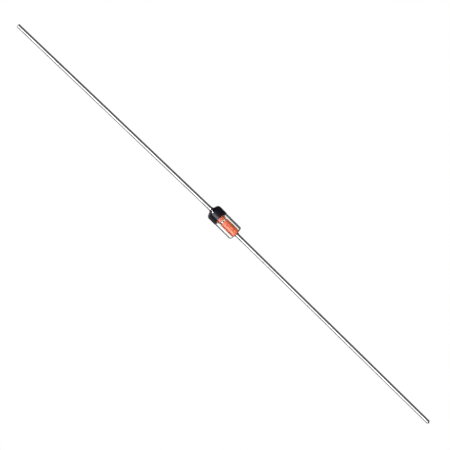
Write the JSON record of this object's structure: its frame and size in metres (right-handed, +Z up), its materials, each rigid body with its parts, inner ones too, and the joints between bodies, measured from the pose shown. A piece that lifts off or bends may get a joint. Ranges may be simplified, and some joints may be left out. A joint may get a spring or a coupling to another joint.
{
  "type": "zener diode",
  "caption": "Small glass-bodied diode with an axial wire lead at each end, a black paint band marking its cathode and copper-coloured slugs seen through the clear glass.",
  "frame": {"origin": "on the diode's axis, halfway along the stack of slug, chip, contact and slug, which is the middle of the glass body; the box's centre lies 0.13 mm towards +X of it, because the anode lead is 0.25 mm longer", "axes": "+X along the body from cathode to anode, +Z up from the surface that the diode is seen lying on, +Y to the side that the anode lead leans to by 0.4 degrees and the cathode lead leans away from by 1.2"},
  "size_m": [0.0611, 0.0018, 0.0018],
  "materials": {
    "clear_glass": "fire-polished, clear",
    "black_paint": "baked gloss paint",
    "copper_slug": "copper with an orange-red oxide skin",
    "silicon": "sawn edges, plated back",
    "silver": "matt plated silver",
    "tinned_wire": "bright tin over drawn wire"
  },
  "bodies": {
    "root": {"glass_sleeve": "clear_glass", "cathode_band": "black_paint", "cathode_slug": "copper_slug", "anode_slug": "copper_slug", "silicon_die": "silicon", "contact_bump": "silver", "cathode_lead": "tinned_wire", "anode_lead": "tinned_wire"}
  },
  "joints": []
}
